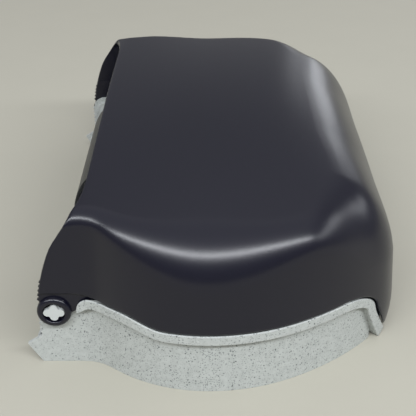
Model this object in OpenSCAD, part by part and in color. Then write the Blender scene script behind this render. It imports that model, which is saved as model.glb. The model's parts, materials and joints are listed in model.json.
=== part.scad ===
// Twin jumbo toilet roll dispenser, lying on its back as it comes out of its box.
// +X points up the wall, Y runs across the wall and +Z points out of the wall.
// Z = 0 is the wall plane. All sizes are in millimetres.

/* [Casing] */
// Depth from the wall to the middle of the front
casing_depth = 152; // [146:1:162]
// Half width of the base at the hinge end
neck_half_w = 200; // [190:1:206]
// Half width of the base at its widest place
belly_half_w = 238.3; // [230:0.1:246]
// Place of the widest station
belly_x = -4.4; // [-12:0.2:4]
// End of the straight neck
neck_end_x = -107; // [-110:0.5:-104]
// Radius where the neck turns out into the belly
blend_r = 30; // [20:1:40]
// Radius of the belly on its upper half
belly_r = 155; // [140:1:170]
// Turn of the belly arc, in degrees
belly_turn = 25; // [22:1:28]
// Radius of the shoulder above the belly
shoulder_r = 240; // [220:1:260]
// Radius of the top corner
corner_r = 54; // [46:1:60]
// Top end of the base
top_x = 149.5; // [146:0.5:154]
// Wall thickness of the base
base_wall = 3.2; // [2.5:0.1:4]
// Thickness of the back plate
plate_t = 3; // [2.5:0.1:4]
// Hollow under the back plate
plate_lift = 3; // [2:0.5:5]

/* [Cover] */
// Wall thickness of the cover
cover_wall = 2.8; // [2.2:0.1:3.6]
// Draft of the cover walls, in degrees
cover_draft = 4; // [3:0.5:6]
// Radius of the edge of the front at the hinge end
edge_r_neck = 13; // [9:1:15]
// Radius of the edge of the front round the belly
edge_r_belly = 42; // [30:1:46]
// Radius of the edge of the front round the shoulders
edge_r_shoulder = 26; // [20:1:40]
// Radius of the edge of the front at the top corners
edge_r_corner = 56; // [40:1:56]
// Radius of the edge of the front at the top end
edge_r_top = 63; // [50:1:66]
// Fall of the front from the middle to the neck edge
neck_fall = 6; // [2:0.5:8]
// Fall of the front from the middle to the belly edge
belly_fall = 11; // [5:0.5:14]
// Fall of the front from the middle to the top end
top_fall = 20; // [12:1:22]
// Lower edge of the cover at the top end
cover_end_z = 3; // [2:0.5:8]
// Middle of the arched paper edge
arch_x = -103; // [-105:0.5:-100]
// Half width of the straight middle of the arch
arch_flat = 140; // [100:1:160]
// Radius of the corner of the open end, seen from the side
end_corner_r = 8; // [5:1:14]

/* [Lip of the base] */
// Height of the lip along the belly
lip_z = 60; // [57:1:63]
// Height of the lip at the neck
lip_neck_z = 68; // [65:0.5:69]
// How far the lip stands out
lip_out = 6; // [4.5:0.5:7.5]
// Height of the face of the lip
lip_h = 9.5; // [7:0.5:12]
// Gap between the lip and the cover
lip_gap = 1; // [0.6:0.1:1.6]

/* [Hinge] */
// Hinge axis along the wall
hinge_x = -129.3; // [-132:0.5:-127]
// Hinge axis out of the wall
hinge_z = 55.5; // [53:0.5:58]
// Radius of the hinge boss
boss_r = 14; // [12.5:0.5:15]
// Radius of the recess in the boss
recess_r = 9; // [8.2:0.1:10]
// Radius of the hinge pin
pin_r = 6; // [5:0.5:6.5]
// Gap between the pin and its bore, on the radius
pin_gap = 0.05; // [0.03:0.01:0.08]
// Thickness of the hinge arm of the cover
arm_t = 3; // [2.5:0.1:3.5]
// Gap between the base and the hinge arm
arm_gap = 0.5; // [0.3:0.1:0.8]

/* [Tear teeth] */
// Pitch of the teeth
tooth_pitch = 4.2; // [3.4:0.1:5]
// Height of the teeth
tooth_h = 1.8; // [1.2:0.1:2.4]
// Number of teeth on each side of the cover
cover_teeth = 5; // [3:1:5]
// Number of teeth on each side of the base
base_teeth = 7; // [4:1:7]

/* [Rolls and hubs] */
// Distance of each spindle from the middle
spindle_y = 117.5; // [112:0.5:120]
// Place of the spindles along the wall
spindle_x = 4; // [-4:0.5:10]
// Radius of the spindle
spindle_r = 10; // [8:0.5:12]
// Gap between spindle and hub, on the radius
hub_gap = 0.06; // [0.03:0.01:0.08]
// Outer radius of the hub fins, for a 57 mm core
hub_r = 27; // [24:0.5:28]
// Number of hub fins
hub_fins = 6; // [4:1:8]
// Length of the hub
hub_l = 92; // [80:1:96]
// Radius of the disc that the roll rests on
hub_disc_r = 48; // [46:1:60]
// Outer radius of the core adaptor, for an 86 mm core
adaptor_r = 41; // [38:0.5:42]
// Length of the core adaptor
adaptor_l = 60; // [50:1:70]

/* [Shutter] */
// Length of the shutter across the wall
shutter_l = 170; // [150:1:180]
// Far end of the shutter at rest
shutter_end_y = 158; // [150:1:165]
// Thickness of the shutter
shutter_t = 2.5; // [2:0.1:3]
// Radius of the shutter's bend
shutter_r = 62; // [56:1:68]
// Turn of the shutter's bend, in degrees
shutter_turn = 50; // [44:1:54]
// Running gap round the shutter
shutter_gap = 0.4; // [0.3:0.1:0.6]

/* [Lock] */
// Lock axis out of the wall
lock_z = 34; // [32:0.5:38]
// Radius of the lock barrel
barrel_r = 8.5; // [8:0.1:9]
// Radius of the key plug
plug_r = 5.5; // [5:0.1:6]
// Gap round the key plug, on the radius
plug_gap = 0.05; // [0.03:0.01:0.08]
// Reach of the cam from the lock axis
cam_reach = 24; // [22:0.5:28]

/* [Wall fixing] */
// Half distance between the fixing holes, along the wall
fix_x = 90; // [80:1:95]
// Half distance between the fixing holes, across the wall
fix_y = 178; // [176:1:182]
// Radius of a fixing hole
fix_r = 3.25; // [2.5:0.25:3.5]

/* [Hidden] */
$fn = 48;
overlap = 0.4;          // depth by which fused shapes run into each other

function mix(a, b, t) = a + (b - a) * t;
function smooth(t) = let (u = max(0, min(1, t))) u * u * (3 - 2 * u);

// ---- Plan outline: half of it, from the hinge end round to the middle of the top end ----
rise = belly_half_w - neck_half_w;
run = belly_x - neck_end_x;
blend_turn = 2 * atan(rise / run);
lower_belly_r = run / sin(blend_turn) - blend_r;
shoulder_turn = 45 - belly_turn;
neck_start_x = hinge_x - boss_r;
deg = PI / 180;
// Stretches of the outline as [length, curvature]: a positive curvature turns away from the middle.
to_belly = [
    [neck_end_x - neck_start_x, 0],
    [blend_r * blend_turn * deg, 1 / blend_r],
    [lower_belly_r * blend_turn * deg, -1 / lower_belly_r],
    [belly_r * belly_turn * deg, -1 / belly_r],
    [shoulder_r * shoulder_turn * deg, -1 / shoulder_r],
];
outline_start = [neck_start_x, neck_half_w, 0];

// Place and heading [x, y, heading] after a length l on a stretch of curvature k from p.
function along_arc(p, k, l) = k == 0
    ? [p[0] + l * cos(p[2]), p[1] + l * sin(p[2]), p[2]]
    : let (h = p[2] + l * k / deg)
      [p[0] + (sin(h) - sin(p[2])) / k, p[1] - (cos(h) - cos(p[2])) / k, h];
function walk(path, s, p, i = 0) = i == len(path) - 1 || s <= path[i][0]
    ? along_arc(p, path[i][1], s)
    : walk(path, s - path[i][0], along_arc(p, path[i][1], path[i][0]), i + 1);
function total(path, i = 0) = i == len(path) ? 0 : path[i][0] + total(path, i + 1);

shoulder_end = walk(to_belly, total(to_belly), outline_start);
flat_l = (top_x - corner_r * (1 - sin(45)) - shoulder_end[0]) / cos(45);
corner_end_y = shoulder_end[1] - flat_l * sin(45) - corner_r * cos(45);
outline = concat(to_belly, [
    [flat_l, 0],
    [corner_r * 45 * deg, -1 / corner_r],
    [corner_end_y, 0],
]);
outline_l = total(outline);
neck_l = outline[0][0];
function station(s) = walk(outline, s, outline_start);
// Point at arc length s, moved out by d. The side is 1 or -1.
function on_outline(s, d, side = 1) = let (p = station(s))
    [p[0] - d * sin(p[2]), side * (p[1] + d * cos(p[2]))];
// Arc lengths from a to b in equal steps no longer than step.
function spread(a, b, step) = let (n = ceil((b - a) / step)) [for (i = [0 : n]) mix(a, b, i / n)];

// ---- Lip of the base: heights along X ----
curl_x = neck_end_x - 4.5;                  // the rolled end of the lip by the hinge
curl_drop = 11;
lip_crest = [curl_x + 12.5, curl_x + 38.5];   // the lip is level between these
lip_fall_l = 35;
leg_foot_x = top_x - 4.5;                  // foot of the leg that the lip turns down into
leg_bend = [leg_foot_x - 45, leg_foot_x - 13];   // the lip turns down between these
leg_bend_h = 24;
leg_w = 7;                                 // width of the leg along X
function ease_down(t) = 1 - sqrt(1 - pow(max(0, min(1, t)), 2));
function lip_top(x) =
    x < lip_crest[0] ? lip_neck_z - curl_drop * ease_down((lip_crest[0] - x) / (lip_crest[0] - curl_x))
    : x < leg_bend[0] ? mix(lip_neck_z, lip_z, smooth((x - lip_crest[1]) / lip_fall_l))
    : x < leg_bend[1] ? lip_z - leg_bend_h * ease_down((x - leg_bend[0]) / (leg_bend[1] - leg_bend[0]))
    : max(0, (lip_z - leg_bend_h) * (leg_foot_x - x) / (leg_foot_x - leg_bend[1]));
function lip_bottom(x) = let (bend_end = leg_bend[1] - leg_w)
    x < lip_crest[0] ? lip_neck_z - mix(curl_drop + 3, lip_h, smooth((x - curl_x) / (lip_crest[0] - curl_x)))
    : x < leg_bend[0] ? lip_top(x) - lip_h
    : x < bend_end ? lip_z - lip_h - (leg_bend_h - lip_h)
        * ease_down((x - leg_bend[0]) / (bend_end - leg_bend[0]))
    : max(0, (lip_z - leg_bend_h) * (leg_foot_x - leg_w - x) / (leg_foot_x - leg_bend[1]));

// ---- Cover skin ----
cover_out = lip_out;
arm_step = 4.5;                             // extra height of the cover edge over the hinge arm
cover_ref_z = lip_z;                         // the cover is flush with the lip at this height
neck_edge_gap = [curl_x + 16, curl_x + 62];
function cover_low(x) = let (gap = lip_gap + (arm_step - lip_gap)
        * (1 - smooth((x - neck_edge_gap[0]) / (neck_edge_gap[1] - neck_edge_gap[0]))))
    max(cover_end_z, lip_top(max(x - lip_gap, lip_crest[0])) + gap);
curl_in = 6;                                 // the low edge at the top end curls in by this
curl_h = 34;
function cover_out_at(z) = cover_out - (z - cover_ref_z) * tan(cover_draft)
    - curl_in * pow(max(0, 1 - z / curl_h), 2);
crown_l = 100;                                  // the crown grows to its belly height over this
top_fall_x = 50;                               // the front begins to fall towards the top end here
shoulder_x = 75;
corner_s = outline_l - corner_end_y;           // arc length where the top corner ends
// The edge radius changes smoothly between these [arc length, radius].
edge_rs = [
    [neck_l, edge_r_neck], [reach(belly_x), edge_r_belly], [reach(shoulder_x), edge_r_shoulder],
    [corner_s - corner_r * 45 * deg - 4, edge_r_corner], [corner_s + 2, edge_r_corner],
    [corner_s + 80, edge_r_top],
];
function edge_r(s, i = 0) = i == len(edge_rs) - 2 || s < edge_rs[i + 1][0]
    ? mix(edge_rs[i][1], edge_rs[i + 1][1], smooth((s - edge_rs[i][0]) / (edge_rs[i + 1][0] - edge_rs[i][0])))
    : edge_r(s, i + 1);
function front_z(x, y) = casing_depth
    - mix(neck_fall, belly_fall, smooth((x - neck_end_x) / crown_l)) * pow(y / neck_half_w, 2)
    - top_fall * pow(max(0, x - top_fall_x) / (top_x - top_fall_x), 2.6);

// The open end: seen from the side it is an arc, and across the front it is an arch.
end_arc_r = 184;
end_arc_in = 170.1;                            // from the hinge to the arc's centre, along X
end_arc_drop = 15.9;                           // and towards the wall
end_arc_c = [hinge_x + end_arc_in, hinge_z - end_arc_drop];
// Its corner is rounded where it meets the front at height top_z.
function end_x(z, top_z) = end_arc_c[0] - sqrt(end_arc_r * end_arc_r - pow(z - end_arc_c[1], 2))
    + end_corner_r * ease_down((z - top_z + end_corner_r) / end_corner_r);
arch_power = 2.5;
function arch(y, edge_y, edge_x) =
    arch_x - (arch_x - edge_x) * pow(max(0, min(1, (y - arch_flat) / (edge_y - arch_flat))), arch_power);

// A cross line runs from the lower edge up the wall, round the edge of the front and in to the spine.
wall_n = 4;
edge_n = 6;
face_steps = [0.92, 0.8, 0.55, 0.28, 0];
half_n = wall_n + edge_n + len(face_steps);
fan_s = total([for (i = [0 : 2]) outline[i]]) + 40;   // past here the cross lines fan out at the spine
fan_end_x = 75;
spine_start_x = arch_x + 14;
function spine_x(s) = s < fan_s ? mix(spine_start_x, station(fan_s)[0], (s - neck_l) / (fan_s - neck_l))
    : mix(station(fan_s)[0], fan_end_x, (s - fan_s) / (outline_l - fan_s));

// Point k of the cross line at arc length s, with the skin moved in by t. u runs from 0 at the open
// end to 1 at the end of the straight neck, and stays 1 beyond it.
function skin_point(s, u, k, t) = let (
        x = station(s)[0],
        r = max(1, edge_r(s) - t),
        wall_top = front_z(x, station(s)[1]) - t - r * (1 - sin(cover_draft)),
        low = cover_low(x),
        turn = mix(cover_draft, 90, (k - wall_n) / edge_n),
        inner = on_outline(s, cover_out_at(wall_top) - t - r * cos(cover_draft)),
        f = k > wall_n + edge_n ? face_steps[k - wall_n - edge_n - 1] : 1,
        on_face = k > wall_n + edge_n,
        wall_z = mix(low, wall_top, k / wall_n),
        p = k <= wall_n ? on_outline(s, cover_out_at(wall_z) - t)
            : !on_face ? on_outline(s, cover_out_at(wall_top) - t - r * (cos(cover_draft) - cos(turn)))
            : [mix(spine_x(s), inner[0], f), inner[1] * f],
        side_z = k <= wall_n ? wall_z : front_z(p[0], p[1]) - t - r * (1 - sin(turn)),
        end_top_z = front_z(inner[0], inner[1]) - t,
        open_x = on_face ? arch(p[1], inner[1], end_x(end_top_z, end_top_z)) : end_x(side_z, end_top_z),
        x_here = u < 1 ? mix(open_x, p[0], u) : p[0]
    ) [x_here, p[1], on_face ? front_z(x_here, p[1]) - t : side_z];

// Rows of the skin: [arc length, u].
neck_rows = 3;
skin_step = 12;
leg_s = [for (i = [0 : 4]) total([for (j = [0 : 4]) outline[j]]) - 12 + 8 * i];
skin_rows = concat(
    [for (i = [0 : neck_rows - 1]) [neck_l, i / neck_rows]],
    [for (s = spread(neck_l, total([for (i = [0 : 2]) outline[i]]), 9)) [s, 1]],
    [for (s = spread(total([for (i = [0 : 2]) outline[i]]) + 10, leg_s[0] - 8, skin_step)) [s, 1]],
    [for (s = leg_s) [s, 1]],
    [for (s = spread(leg_s[4] + 6, outline_l - corner_end_y, 7)) [s, 1]],
    [for (s = spread(outline_l - corner_end_y * 0.9, outline_l, 45)) [s, 1]]
);

module cover_skin() {
    last = len(skin_rows) - 1;
    across = 2 * half_n;
    // Both halves share their points on the last row, where the far half folds onto the near half.
    function at(i, k) = i * (across + 1) + (i == last && k > half_n ? across - k : k);
    function row_points(row, t) = [for (k = [0 : across])
        let (p = skin_point(row[0], row[1], k <= half_n ? k : across - k, t))
        [p[0], k <= half_n ? -p[1] : p[1], p[2]]];
    outer = [for (row = skin_rows) each row_points(row, 0)];
    inner = [for (row = skin_rows) each row_points(row, cover_wall)];
    n = len(outer);
    function quad(a, b, c, d) = [[a, b, c], [a, c, d]];
    skin = [for (i = [0 : last - 1], k = [0 : across - 1]) each
        quad(at(i, k), at(i, k + 1), at(i + 1, k + 1), at(i + 1, k))];
    rims = concat(
        [for (k = [0 : across - 1]) each quad(at(0, k + 1), at(0, k), at(0, k) + n, at(0, k + 1) + n)],
        [for (i = [0 : last - 1]) each quad(at(i, 0), at(i + 1, 0), at(i + 1, 0) + n, at(i, 0) + n)],
        [for (i = [0 : last - 1]) each quad(at(i + 1, across), at(i, across),
            at(i, across) + n, at(i + 1, across) + n)]
    );
    polyhedron(concat(outer, inner), concat(skin, [for (f = skin) [f[2] + n, f[1] + n, f[0] + n]], rims));
}

// Places its children on the near side and, mirrored, on the far side.
module both_sides() {
    children();
    mirror([0, 1, 0]) children();
}

// Extrudes an outline drawn in X and Z along Y, from |Y| = y0 to y0 + w on the near side.
module side_plate(points, y0, w) {
    translate([0, -y0, 0]) rotate([90, 0, 0]) linear_extrude(w) polygon(points);
}

// Solid swept along rings of points, each ring in the same turning order.
module loft(rings) {
    n = len(rings[0]);
    m = len(rings);
    polyhedron([for (r = rings) each r], concat(
        [[for (j = [0 : n - 1]) j]],
        [for (i = [0 : m - 2], j = [0 : n - 1]) let (k = (j + 1) % n)
            each [[i * n + j, (i + 1) * n + j, (i + 1) * n + k], [i * n + j, (i + 1) * n + k, i * n + k]]],
        [[for (j = [0 : n - 1]) m * n - 1 - j]]
    ));
}

// A band on one side, from offset d0 out to d1, between two heights that follow X.
module wall_band(side, places, d0, d1, low, high) {
    loft([for (i = [0 : len(places) - 1]) let (
            a = on_outline(places[i], side < 0 ? d1 : d0, side),
            b = on_outline(places[i], side < 0 ? d0 : d1, side)
        ) [[a[0], a[1], low[i]], [b[0], b[1], low[i]], [b[0], b[1], high[i]], [a[0], a[1], high[i]]]]);
}

// Arc length at which the outline reaches x, found by halving the interval.
function reach(x, a = 0, b = outline_l, n = 24) = n == 0 ? (a + b) / 2
    : station((a + b) / 2)[0] < x ? reach(x, (a + b) / 2, b, n - 1) : reach(x, a, (a + b) / 2, n - 1);

// Row of pointed teeth up an edge whose x at each height is edge(z); dir is 1 upwards, -1 downwards.
function teeth(n, z0, x_at) = [for (i = [0 : n - 1]) each [
    [x_at[i], z0 + i * tooth_pitch],
    [x_at[i] - tooth_h, z0 + (i + 0.35) * tooth_pitch],
    [x_at[i] + 0.2, z0 + (i + 0.75) * tooth_pitch]]];
function reversed(list) = [for (i = [len(list) - 1 : -1 : 0]) list[i]];
function arc_points(c, r, a0, a1, n) = [for (i = [0 : n])
    let (a = mix(a0, a1, i / n)) [c[0] + r * cos(a), c[1] + r * sin(a)]];

// ---- Base ----
plate_top = plate_lift + plate_t;
chin_z = 19;                                  // top of the chin and tip of the beak
chin_foot_x = neck_start_x - 0.9;
chin_t = 3;
beak_x = hinge_x - 26.2;
beak_in = [hinge_x - 12.7, chin_z + 9];
ear_edge_x = hinge_x - 12.1;
rim_h = 8;                                    // height of the rim at the top end
wall_end_x = leg_foot_x - 12;
function chin_x(y) = chin_foot_x - 0.1
    - 6.1 * max(0, min(1, (y - 86) / 86)) - 5 * pow(max(0, min(1, (y - 172) / (neck_half_w - 172))), 2);

module chin() {
    places = [for (i = [-10 : 10]) sign(i) * neck_half_w * pow(abs(i) / 10, 0.7)];
    loft([for (y = places) let (x = chin_x(abs(y)))
        [[chin_foot_x, y, 0], [x, y, chin_z], [x + chin_t, y, chin_z], [chin_foot_x + chin_t, y, 0]]]);
}

// Side of the base at the hinge end: beak, toothed edge and ear.
module neck_side() {
    ear = arc_points([hinge_x, hinge_z], boss_r, 150, 40, 10);
    first_tooth_z = beak_in[1] + 3;
    side_plate(concat(
        [[chin_foot_x, 0], [beak_x, chin_z], beak_in],
        teeth(base_teeth, first_tooth_z, [for (i = [1 : base_teeth]) ear_edge_x]),
        ear,
        [[neck_end_x, lip_top(neck_end_x)], [neck_end_x, 0]]
    ), neck_half_w - base_wall, base_wall);
}

module side_wall(side) {
    places = spread(neck_l, reach(wall_end_x), 9);
    tops = [for (s = places) lip_top(station(s)[0])];
    wall_band(side, places, -base_wall, 0, [for (s = places) 0], tops);
}

// The end of the wall turns in behind the leg.
return_r = 8;
return_l = 2;
module wall_return(side) {
    end = station(reach(wall_end_x));
    ahead = [cos(end[2]), sin(end[2])];
    inward = [sin(end[2]), -cos(end[2])];
    centre = [end[0], end[1]] + return_r * inward;
    function bend(r) = [for (i = [0 : 6]) let (a = 90 * i / 6)
        centre + r * (sin(a) * ahead - cos(a) * inward)];
    function run(r) = concat([bend(r)[0] - overlap * ahead], bend(r), [bend(r)[6] + return_l * inward]);
    points = concat(run(return_r), reversed(run(return_r - base_wall)));
    linear_extrude(lip_top(wall_end_x)) polygon([for (p = points) [p[0], side * p[1]]]);
}

module lip(side) {
    places = concat(
        spread(reach(curl_x), reach(lip_crest[0]), 2.2),
        spread(reach(lip_crest[0]) + 6, reach(leg_bend[0]), 9),
        spread(reach(leg_bend[0]) + 4, reach(leg_foot_x - 0.8), 3.2)
    );
    xs = [for (s = places) station(s)[0]];
    wall_band(side, places, -base_wall / 2, lip_out, [for (x = xs) lip_bottom(x)], [for (x = xs) lip_top(x)]);
}

module plate() {
    places = concat(spread(0, neck_l, 100), spread(neck_l + 6, outline_l - corner_end_y, 9), [outline_l]);
    half = [for (s = places) on_outline(s, -base_wall / 2, -1)];
    translate([0, 0, plate_lift]) linear_extrude(plate_t)
        polygon(concat(half, [for (p = reversed(half)) [p[0], -p[1]]]));
}

module top_rim() {
    places = concat(spread(reach(leg_foot_x + 1.5), outline_l - corner_end_y, 8), [outline_l]);
    out = [for (s = places) on_outline(s, 0, -1)];
    in = [for (s = places) on_outline(s, -base_wall, -1)];
    linear_extrude(rim_h)
        polygon(concat(out, [for (p = reversed(out)) [p[0], -p[1]]],
            [for (p = in) [p[0], -p[1]]], reversed(in)));
}

rib_t = 2;
pad_r = 10;
module back_ribs() {
    rib_low = 0.5;
    for (x = [-1 : 1])
        translate([x * fix_x - rib_t / 2, -fix_y, rib_low]) cube([rib_t, 2 * fix_y, plate_lift]);
    for (y = [-1 : 1])
        translate([neck_start_x + 1, y * spindle_y - rib_t / 2, rib_low])
            cube([top_x - neck_start_x - 2, rib_t, plate_lift]);
    for (x = [-fix_x, fix_x], y = [-fix_y, fix_y])
        translate([x, y, 0]) cylinder(r = pad_r, h = plate_lift + overlap);
}

// ---- Shutter and its guide ----
shutter_x = chin_foot_x + chin_t + shutter_gap;
shutter_low = plate_top + shutter_gap;
shutter_bend_z = 32;
shutter_foot_l = 6;
shutter_foot_t = 2;
guide_t = 2.5;
guide_low = shutter_low + shutter_foot_t + shutter_gap;
guide_x = shutter_x + shutter_foot_l + shutter_gap;
guide_half_l = shutter_end_y + shutter_gap;

module shutter_guide() {
    over_x = shutter_x + shutter_t + shutter_gap;
    translate([0, guide_half_l, 0]) rotate([90, 0, 0])
        linear_extrude(2 * guide_half_l) polygon([
            [guide_x, plate_top - overlap], [guide_x + guide_t, plate_top - overlap],
            [guide_x + guide_t, guide_low + guide_t], [over_x, guide_low + guide_t],
            [over_x, guide_low], [guide_x, guide_low]]);
    both_sides() translate([shutter_x, guide_half_l, plate_top - overlap])
        cube([guide_x + guide_t - shutter_x, guide_t, guide_low + guide_t - plate_top + overlap]);
}

module shutter() {
    c = [shutter_x + shutter_r, shutter_bend_z];
    end = 180 - shutter_turn;
    profile = concat(
        [[shutter_x + shutter_foot_l, shutter_low], [shutter_x, shutter_low]],
        arc_points(c, shutter_r, 180, end, 16),
        arc_points(c, shutter_r - shutter_t, end, 180, 16),
        [[shutter_x + shutter_t, shutter_low + shutter_foot_t],
         [shutter_x + shutter_foot_l, shutter_low + shutter_foot_t]]
    );
    grip_w = 14;
    color("#1c1d20") {
        translate([0, shutter_end_y, 0]) rotate([90, 0, 0]) linear_extrude(shutter_l) polygon(profile);
        // Finger rib on the inside of the bend
        translate([shutter_x + shutter_t - overlap, shutter_end_y - shutter_l + 4, guide_low + 8])
            cube([4, grip_w / 4, 20]);
    }
}

// ---- Spindles and hubs ----
flange_r = 24;
flange_t = 3;
hub_z = plate_top + flange_t + 3.3;
hub_play = 0.6;
post_top = hub_z + hub_l + hub_play;
screw_ring_r = 18;
screw_r = 1.9;
screw_head_r = 3.8;
screw_head_t = 2;
screw_gap = 0.1;
cap_t = 3;
cap_r = 15;
cap_screw_l = 12;
disc_t = 2.5;
fin_t = 2.4;
sleeve_t = 3.5;

// A pan-head screw standing on z = 0 with its shank below.
module screw(l) {
    rotate_extrude() polygon([[0, -l], [screw_r * 0.5, -l], [screw_r, -l + 1.5], [screw_r, 0],
        [screw_head_r, 0], [screw_head_r, screw_head_t * 0.6], [screw_head_r * 0.6, screw_head_t],
        [0, screw_head_t]]);
}

module at_spindle_screws() {
    for (a = [30 : 120 : 270]) rotate([0, 0, a]) translate([screw_ring_r, 0, 0]) children();
}

module spindle(side) {
    post_hole_l = 16;
    color("#d9dbd7") translate([spindle_x, side * spindle_y, 0]) difference() {
        rotate_extrude() polygon([[0, plate_top], [flange_r, plate_top], [flange_r, plate_top + flange_t],
            [spindle_r + 4, plate_top + flange_t], [spindle_r + 3, hub_z - 0.3],
            [spindle_r, hub_z - 0.3], [spindle_r, post_top - 1], [spindle_r - 1, post_top], [0, post_top]]);
        translate([0, 0, post_top - post_hole_l]) cylinder(r = screw_r + screw_gap, h = post_hole_l + 1);
        at_spindle_screws() translate([0, 0, plate_top - 1])
            cylinder(r = screw_r + screw_gap, h = flange_t + 2);
    }
}

module spindle_screws() {
    color("#b9bcc0") for (side = [-1, 1]) translate([spindle_x, side * spindle_y, plate_top + flange_t])
        at_spindle_screws() screw(flange_t + plate_t - 0.5);
}

module hub_cap(side) {
    color("#d9dbd7") translate([spindle_x, side * spindle_y, post_top]) difference() {
        rotate_extrude() polygon([[0, 0], [cap_r, 0], [cap_r, cap_t * 0.5], [cap_r - 2, cap_t], [0, cap_t]]);
        translate([0, 0, -1]) cylinder(r = screw_r + screw_gap, h = cap_t + 2);
    }
}

module hub_cap_screws() {
    color("#b9bcc0") for (side = [-1, 1]) translate([spindle_x, side * spindle_y, post_top + cap_t])
        screw(cap_screw_l);
}

module hub(side) {
    fin_top = hub_z + hub_l;
    fin_root = spindle_r + hub_gap + sleeve_t - overlap;
    color("#3a3c40") translate([spindle_x, side * spindle_y, 0]) {
        difference() {
            union() {
                translate([0, 0, hub_z]) cylinder(r = spindle_r + hub_gap + sleeve_t, h = hub_l);
                translate([0, 0, hub_z]) cylinder(r = hub_disc_r, h = disc_t);
                for (i = [0 : hub_fins - 1]) rotate([90, 0, i * 360 / hub_fins])
                    translate([0, 0, -fin_t / 2]) linear_extrude(fin_t) polygon([
                        [fin_root, hub_z + disc_t - overlap], [hub_r, hub_z + disc_t - overlap],
                        [hub_r, fin_top - 22], [hub_r - 6, fin_top - 4], [fin_root, fin_top - 1]]);
            }
            translate([0, 0, hub_z - 1]) cylinder(r = spindle_r + hub_gap, h = hub_l + 2);
        }
    }
}

adaptor_gap = 0.25;
adaptor_t = 2;
module ring(r_out, r_in) {
    difference() {
        circle(r = r_out);
        circle(r = r_in);
    }
}

module core_adaptor(side) {
    inner = hub_r + adaptor_gap;
    web_in = inner + adaptor_t / 2;
    color("#55585e") translate([spindle_x, side * spindle_y, hub_z + disc_t]) linear_extrude(adaptor_l)
        union() {
            ring(adaptor_r, adaptor_r - adaptor_t);
            ring(inner + adaptor_t, inner);
            for (i = [0 : hub_fins - 1]) rotate(i * 360 / hub_fins)
                translate([web_in, -adaptor_t / 2]) square([adaptor_r - adaptor_t / 2 - web_in, adaptor_t]);
        }
}

// ---- Hinge ----
boss_in = neck_half_w + arm_gap;
boss_out = boss_in + 7;
recess_y = boss_in + arm_t;
pin_head_y = recess_y + 0.2;
pin_head_t = 3.2;
pin_boss_t = 4;

// Turns its children from +Z to point outwards along Y on the given side.
module outwards(side) {
    translate([hinge_x, 0, hinge_z]) rotate([-90 * side, 0, 0]) children();
}

module hinge_pin(side) {
    lobe_r = 3.3;
    long = recess_r - 0.5 - lobe_r;
    short = long * 0.78;
    color("#e3e5e2") outwards(side) {
        translate([0, 0, neck_half_w - base_wall - pin_boss_t])
            cylinder(r = pin_r, h = pin_head_y - neck_half_w + base_wall + pin_boss_t + overlap);
        translate([0, 0, pin_head_y]) {
            cylinder(r = pin_r - 0.6, h = pin_head_t);
            for (x = [-long, long]) translate([x, 0, 0]) cylinder(r = lobe_r, h = pin_head_t);
            for (y = [-short, short]) translate([0, y, 0]) cylinder(r = lobe_r, h = pin_head_t);
        }
    }
}

module hinge_arm() {
    tooth_z = hinge_z + 9.5;
    top_z = tooth_z + cover_teeth * tooth_pitch + 4;
    low_z = lip_neck_z + lip_gap;
    end = neck_end_x + 14;
    side_plate(concat(
        [[hinge_x + 4, hinge_z], [hinge_x - boss_r + 2, hinge_z + 2]],
        teeth(cover_teeth, tooth_z, [for (i = [0 : cover_teeth - 1]) end_x(tooth_z + i * tooth_pitch, casing_depth) + 0.6]),
        [[end_x(top_z, casing_depth) + 0.8, top_z], [end, top_z], [end, low_z], [lip_crest[0] - 4, low_z],
         [hinge_x + boss_r + 1, hinge_z + 7], [hinge_x + boss_r - 3, hinge_z]]
    ), boss_in, arm_t);
}

module hinge_boss() {
    round = 1.2;
    outwards(-1) rotate_extrude() polygon([[0, boss_in], [boss_r, boss_in], [boss_r, boss_out - round],
        [boss_r - round, boss_out], [recess_r + 0.6, boss_out], [recess_r, boss_out - 0.6],
        [recess_r, recess_y], [0, recess_y]]);
}

// ---- Lock ----
lock_wall_x = top_x + cover_out_at(lock_z);     // outer face of the cover wall at the lock
lock_pad = 0.9;
pad_x = [lock_wall_x - 6, lock_wall_x + lock_pad];
housing_flange_t = 2;
housing_flange_r = barrel_r + 3.5;
nut_r = barrel_r + 2.8;
nut_t = 4.5;
barrel_in_x = pad_x[0] - nut_t - 1.5;
plug_out_x = pad_x[1] + housing_flange_t - 0.3;
cam_t = 3;
cam_x = barrel_in_x - 0.4;                      // outer face of the cam
module along_lock(x) {
    translate([x, 0, lock_z]) rotate([0, 90, 0]) children();
}

module lock_housing() {
    color("#9ea1a6") difference() {
        union() {
            along_lock(barrel_in_x) cylinder(r = barrel_r - 0.1, h = pad_x[1] - barrel_in_x + overlap);
            along_lock(pad_x[1]) rotate_extrude() polygon([[0, 0], [housing_flange_r, 0],
                [housing_flange_r, housing_flange_t - 0.8], [housing_flange_r - 0.8, housing_flange_t],
                [0, housing_flange_t]]);
        }
        along_lock(barrel_in_x - 1) cylinder(r = plug_r + plug_gap, h = plug_out_x + 5 - barrel_in_x);
    }
}

module lock_nut() {
    color("#9ea1a6") along_lock(pad_x[0] - nut_t) difference() {
        cylinder(r = nut_r, h = nut_t, $fn = 6);
        translate([0, 0, -1]) cylinder(r = barrel_r - 0.1, h = nut_t + 2);
    }
}

module lock_plug() {
    key_w = 1.6;
    key_h = 6.5;
    key_depth = 8;
    color("#c5c8cc") difference() {
        along_lock(cam_x) cylinder(r = plug_r, h = plug_out_x - cam_x);
        translate([plug_out_x - key_depth, -key_w / 2, lock_z - key_h / 2]) cube([key_depth + 1, key_w, key_h]);
        along_lock(cam_x - 1) cylinder(r = screw_r, h = 9);
    }
}

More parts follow.
